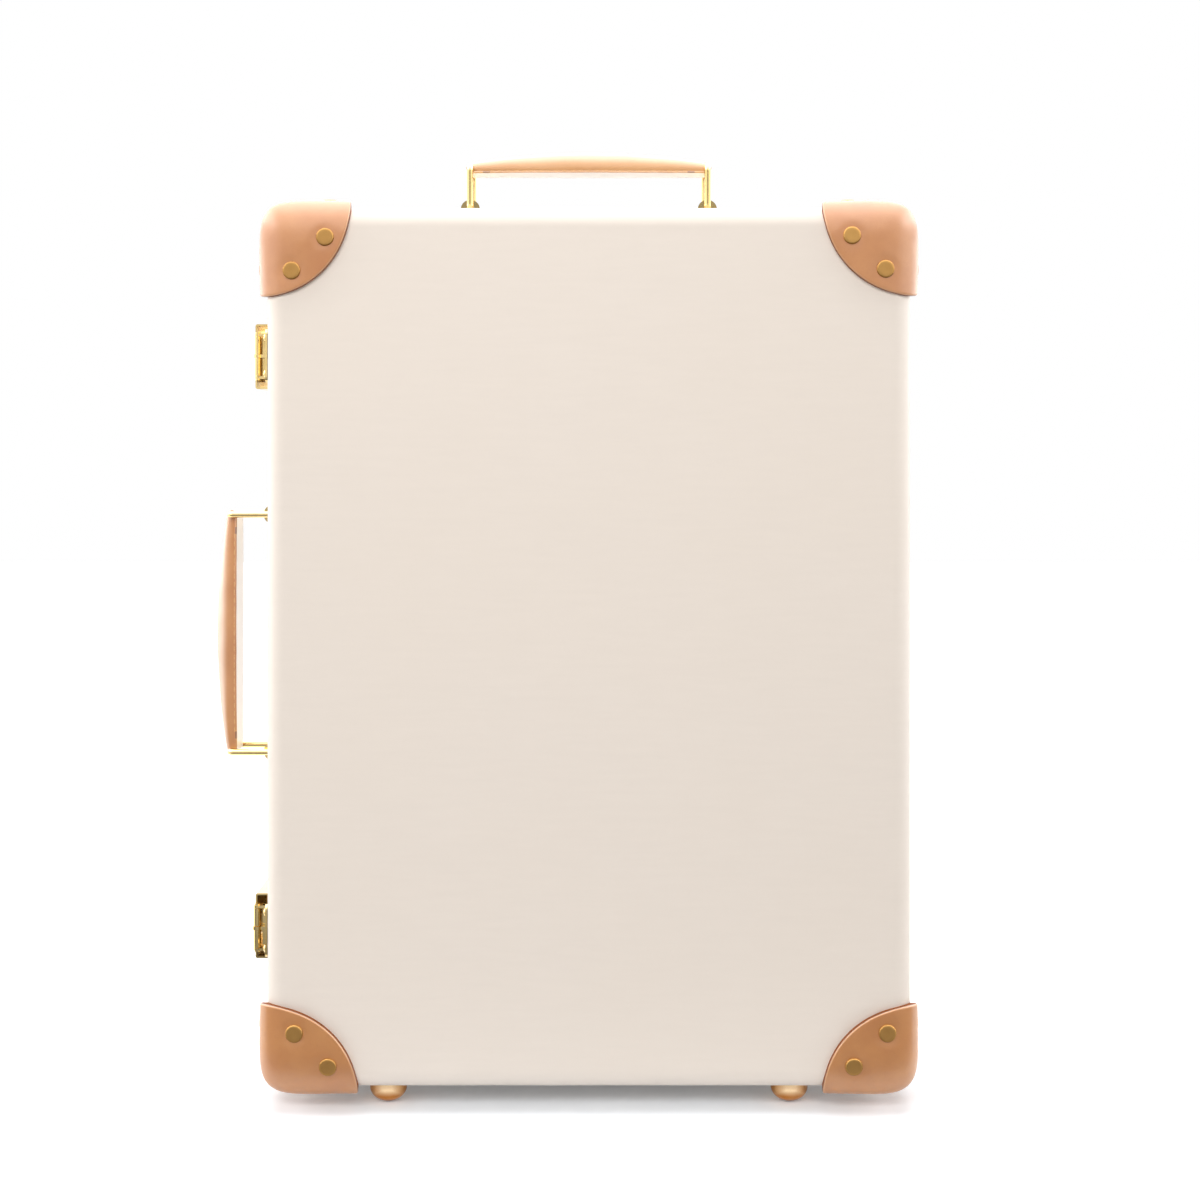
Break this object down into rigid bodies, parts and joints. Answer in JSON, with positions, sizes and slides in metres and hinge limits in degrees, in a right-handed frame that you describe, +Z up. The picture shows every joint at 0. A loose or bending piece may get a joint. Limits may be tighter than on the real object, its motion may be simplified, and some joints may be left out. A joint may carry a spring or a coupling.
{
  "type": "carry-on suitcase",
  "caption": "Upright two-wheel carry-on case of ivory fibre with riveted leather corners, side-hinged lid, hasp latches, two folding leather handles and a pull-out handle.",
  "frame": {"origin": "on the floor under the middle of the case, in the plane of the feet and the wheels' lowest points", "axes": "+Z up, -Y towards the viewer and the lid's face, -X the latch side, +X the hinge side"},
  "size_m": [0.4459, 0.2038, 0.5954],
  "materials": {
    "fibre": "satin",
    "leather": "satin",
    "brass": "polished",
    "frame_wood": "satin",
    "lining": "matte",
    "board": "matte",
    "moulding": "satin",
    "button": "gloss",
    "tube": "satin",
    "tyre": "matte",
    "steel": "satin"
  },
  "bodies": {
    "base": {"base_shell": "fibre", "base_frame": "frame_wood", "base_lining": "lining", "back_board": "board", "base_corner_top_left": "leather", "base_corner_top_right": "leather", "base_corner_bottom_left": "leather", "base_corner_bottom_right": "leather", "base_corner_rivets": "brass", "base_fitting_rivets": "brass", "base_hinge_leaves": "brass", "hinge_pins": "brass", "upper_lock_case": "brass", "lower_lock_case": "brass", "top_handle_brackets": "brass", "side_handle_brackets": "brass", "wheel_housing_left": "moulding", "wheel_housing_right": "moulding", "wheel_axles": "steel", "trolley_cup": "moulding", "trolley_shoe": "moulding", "trolley_guide_tubes": "tube"},
    "lid": {"lid_shell": "fibre", "lid_frame": "frame_wood", "lid_lining": "lining", "lid_corner_top_left": "leather", "lid_corner_top_right": "leather", "lid_corner_bottom_left": "leather", "lid_corner_bottom_right": "leather", "lid_corner_rivets": "brass", "lid_fitting_rivets": "brass", "lid_hinge_leaves": "brass", "upper_latch_leaf": "brass", "lower_latch_leaf": "brass", "latch_pins": "brass", "front_feet": "brass"},
    "upper_hasp": {"upper_latch_hasp": "brass"},
    "lower_hasp": {"lower_latch_hasp": "brass"},
    "upper_slide": {"upper_lock_slide": "brass"},
    "lower_slide": {"lower_lock_slide": "brass"},
    "top_loop_left": {"top_handle_loop_left": "brass"},
    "top_grip": {"top_handle_grip": "leather"},
    "top_loop_right": {"top_handle_loop_right": "brass"},
    "side_loop_lower": {"side_handle_loop_lower": "brass"},
    "side_grip": {"side_handle_grip": "leather"},
    "side_loop_upper": {"side_handle_loop_upper": "brass"},
    "trolley_lower": {"trolley_lower_tubes": "tube"},
    "trolley_upper": {"trolley_upper_tubes": "tube", "trolley_grip": "moulding"},
    "trolley_release": {"trolley_button": "button", "trolley_release_rods": "tube"},
    "wheel_left": {"wheel_hub_left": "moulding", "wheel_tyre_left": "tyre", "wheel_bearings_left": "steel"},
    "wheel_right": {"wheel_hub_right": "moulding", "wheel_tyre_right": "tyre", "wheel_bearings_right": "steel"}
  },
  "joints": [
    {"name": "lid_hinge", "type": "hinge", "parent": "base", "child": "lid", "pos_m": [0.2005, -0.0305, 0.2845], "axis": [0, 0, 1], "range_deg": [0, 180]},
    {"name": "upper_hasp_hinge", "type": "hinge", "parent": "lid", "child": "upper_hasp", "pos_m": [-0.2036, -0.0765, 0.46], "axis": [0, 0, 1], "range_deg": [0, 105]},
    {"name": "lower_hasp_hinge", "type": "hinge", "parent": "lid", "child": "lower_hasp", "pos_m": [-0.2036, -0.0765, 0.109], "axis": [0, 0, 1], "range_deg": [0, 105]},
    {"name": "upper_lock_slide", "type": "slide", "parent": "base", "child": "upper_slide", "axis": [0, 0, -1], "range_m": [0, 0.006]},
    {"name": "lower_lock_slide", "type": "slide", "parent": "base", "child": "lower_slide", "axis": [0, 0, -1], "range_m": [0, 0.006]},
    {"name": "top_handle_fold", "type": "hinge", "parent": "base", "child": "top_loop_left", "pos_m": [-0.0764, 0, 0.5575], "axis": [0, 1, 0], "range_deg": [-65, 65]},
    {"name": "top_grip_pivot", "type": "hinge", "parent": "top_loop_left", "child": "top_grip", "pos_m": [-0.0764, 0, 0.5851], "axis": [0, 1, 0], "range_deg": [-65, 65]},
    {"name": "top_loop_right_fold", "type": "hinge", "parent": "base", "child": "top_loop_right", "pos_m": [0.0764, 0, 0.5575], "axis": [0, 1, 0], "range_deg": [-65, 65]},
    {"name": "side_handle_fold", "type": "hinge", "parent": "base", "child": "side_loop_lower", "pos_m": [-0.2035, 0, 0.2081], "axis": [0, 1, 0], "range_deg": [-65, 65]},
    {"name": "side_grip_pivot", "type": "hinge", "parent": "side_loop_lower", "child": "side_grip", "pos_m": [-0.2311, 0, 0.2081], "axis": [0, 1, 0], "range_deg": [-65, 65]},
    {"name": "side_loop_upper_fold", "type": "hinge", "parent": "base", "child": "side_loop_upper", "pos_m": [-0.2035, 0, 0.3609], "axis": [0, 1, 0], "range_deg": [-65, 65]},
    {"name": "trolley_lower_slide", "type": "slide", "parent": "base", "child": "trolley_lower", "axis": [0, 0, 1], "range_m": [0, 0.24]},
    {"name": "trolley_upper_slide", "type": "slide", "parent": "trolley_lower", "child": "trolley_upper", "axis": [0, 0, 1], "range_m": [0, 0.24]},
    {"name": "trolley_button_press", "type": "slide", "parent": "trolley_upper", "child": "trolley_release", "axis": [0, 0, -1], "range_m": [0, 0.003], "stiffness_N_per_m": 800, "springref_m": -0.003},
    {"name": "wheel_left_spin", "type": "hinge", "parent": "base", "child": "wheel_left", "pos_m": [-0.12, 0.0735, 0.025], "axis": [1, 0, 0], "continuous": true},
    {"name": "wheel_right_spin", "type": "hinge", "parent": "base", "child": "wheel_right", "pos_m": [0.12, 0.0735, 0.025], "axis": [1, 0, 0], "continuous": true}
  ],
  "couplings": [
    {"joint": "top_grip_pivot", "follows": "top_handle_fold", "ratio": -1},
    {"joint": "top_loop_right_fold", "follows": "top_handle_fold", "ratio": 1},
    {"joint": "side_grip_pivot", "follows": "side_handle_fold", "ratio": -1},
    {"joint": "side_loop_upper_fold", "follows": "side_handle_fold", "ratio": 1}
  ]
}
